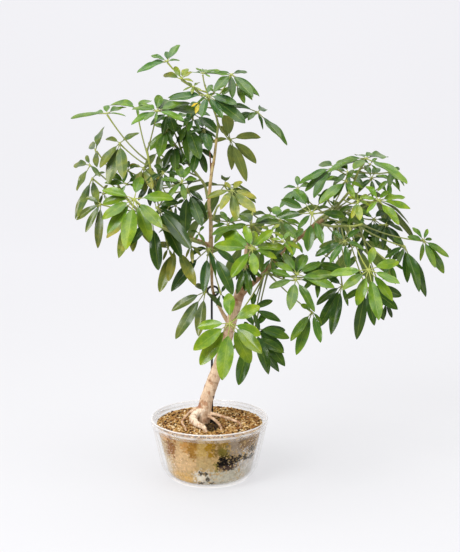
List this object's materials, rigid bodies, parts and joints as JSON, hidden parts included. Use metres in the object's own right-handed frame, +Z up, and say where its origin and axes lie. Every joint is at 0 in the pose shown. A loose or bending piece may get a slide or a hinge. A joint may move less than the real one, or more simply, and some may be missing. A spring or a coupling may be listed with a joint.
{
  "type": "potted dwarf umbrella tree",
  "caption": "Small potted umbrella tree: a pale forked trunk with fingered leaf umbrellas and surface roots in brown gravel, in a clear glass bowl that stands on its flat base.",
  "frame": {"origin": "centre of the bowl's flat base, on the surface that it stands on", "axes": "+Z up along the bowl's axis; -Y is the front that the picture shows; +X is the picture's right"},
  "size_m": [0.621, 0.4104, 0.7284],
  "materials": {
    "clear_glass": "clear moulded glass, polished, with a rounded lip",
    "clear_plastic": "thin clear plastic, wet and stained inside",
    "brown_gravel": "small brown, tan and golden grains, damp and stained below the surface",
    "bark": "pale tan bark with rings, scars and lenticels",
    "black_coating": "black coated wire, satin",
    "leaf_green": "waxy green leaf, glossy above and pale olive below, with light ribs"
  },
  "bodies": {
    "root": {"glass_bowl": "clear_glass", "clear_liner": "clear_plastic", "gravel": "brown_gravel", "trunk_and_roots": "bark", "wire_stake": "black_coating", "top_shoot": "leaf_green", "left_tip_shoot": "leaf_green", "left_side_shoot": "leaf_green", "inner_shoot": "leaf_green", "leader_side_shoot": "leaf_green", "junction_shoot": "leaf_green", "trunk_top_shoot": "leaf_green", "lower_front_shoot": "leaf_green", "right_up_shoot": "leaf_green", "right_low_shoot": "leaf_green", "back_shoot": "leaf_green", "right_back_shoot": "leaf_green"}
  },
  "joints": []
}
